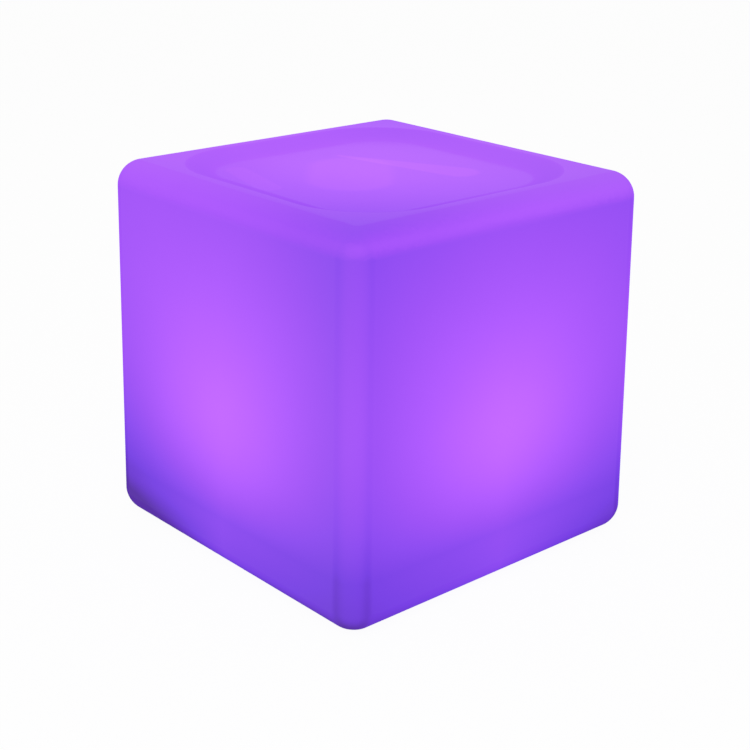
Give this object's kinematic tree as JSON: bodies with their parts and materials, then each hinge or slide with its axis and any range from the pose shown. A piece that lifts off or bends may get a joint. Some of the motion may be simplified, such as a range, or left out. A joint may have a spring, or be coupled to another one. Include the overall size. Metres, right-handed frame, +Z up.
{
  "type": "led cube light",
  "caption": "Hollow moulded cube light with a dished top and a screw-out sealed lamp unit in its base",
  "frame": {"origin": "on the floor under the cube's axis, level with the feet", "axes": "+Z up along the cube's axis, -Y is the front face, +X is to the right of the front"},
  "size_m": [0.3992, 0.3992, 0.395],
  "materials": {
    "milky_polyethylene": "translucent moulded polyethylene, softly glossy, lit from inside",
    "white_moulding": "fine satin moulding",
    "grey_silicone": "smooth silicone",
    "black_rubber": "matt rubber",
    "plain_brass": "machined",
    "stainless_screws": "machined",
    "spreader_aluminium": "brushed",
    "white_circuit_board": "white solder mask",
    "lamp_chips": "lit resin in a white case",
    "clear_dome": "frosted clear polycarbonate",
    "cell_wrap": "shrink film",
    "black_plastic": "fine satin moulding",
    "strap_web": "woven strap",
    "nickel": "rolled strip",
    "green_circuit_board": "green solder mask",
    "black_chips": "moulded packages",
    "cream_plugs": "nylon",
    "grey_button": "fine satin moulding",
    "red_lead": "silicone insulation"
  },
  "bodies": {
    "shell": {"shell": "milky_polyethylene", "ring_gasket": "grey_silicone", "neck_ring": "white_moulding", "ring_inserts": "plain_brass", "ring_screws": "stainless_screws", "rubber_feet": "black_rubber", "vent_plug": "black_rubber"},
    "seal": {"seal_ring": "grey_silicone"},
    "lamp_unit": {"lamp_housing": "white_moulding", "dome_seal": "grey_silicone", "flap_anchor": "grey_silicone", "socket_pin": "plain_brass", "dome_screws": "stainless_screws", "led_board_screws": "stainless_screws", "board_screws": "stainless_screws", "cradle_screws": "stainless_screws", "heat_spreader": "spreader_aluminium", "led_board": "white_circuit_board", "led_chips": "lamp_chips", "diffuser_dome": "clear_dome", "battery_cells": "cell_wrap", "battery_cradle": "black_plastic", "power_switch": "black_plastic", "charge_socket": "black_plastic", "bezel_nut": "black_plastic", "button_bezel": "black_plastic", "battery_strap": "strap_web", "cell_tabs": "nickel", "button_spring": "nickel", "socket_nut": "nickel", "control_board": "green_circuit_board", "protection_board": "green_circuit_board", "board_chips": "black_chips", "board_plugs": "cream_plugs", "battery_lead": "red_lead", "charge_lead": "red_lead", "lamp_lead": "red_lead"},
    "button": {"power_button": "grey_button", "switch_plunger": "grey_button"},
    "flap": {"port_flap": "grey_silicone"}
  },
  "joints": [
    {"name": "lamp_travel", "type": "slide", "parent": "shell", "child": "seal", "axis": [0, 0, -1], "range_m": [0, 0.0101]},
    {"name": "lamp_twist", "type": "hinge", "parent": "seal", "child": "lamp_unit", "pos_m": [0, 0, 0.022], "axis": [0, 0, -1], "range_deg": [0, 450]},
    {"name": "button_press", "type": "slide", "parent": "lamp_unit", "child": "button", "axis": [0, 0, 1], "range_m": [0, 0.0015], "stiffness_N_per_m": 1200, "springref_m": -0.0012, "deforming": ["button_spring"]},
    {"name": "flap_swing", "type": "hinge", "parent": "lamp_unit", "child": "flap", "pos_m": [0.0096, 0.036, 0.0153], "axis": [0, -1, 0], "range_deg": [0, 95]}
  ],
  "couplings": [
    {"joint": "lamp_travel", "follows": "lamp_twist", "m_per_rad": 0.0012732}
  ]
}
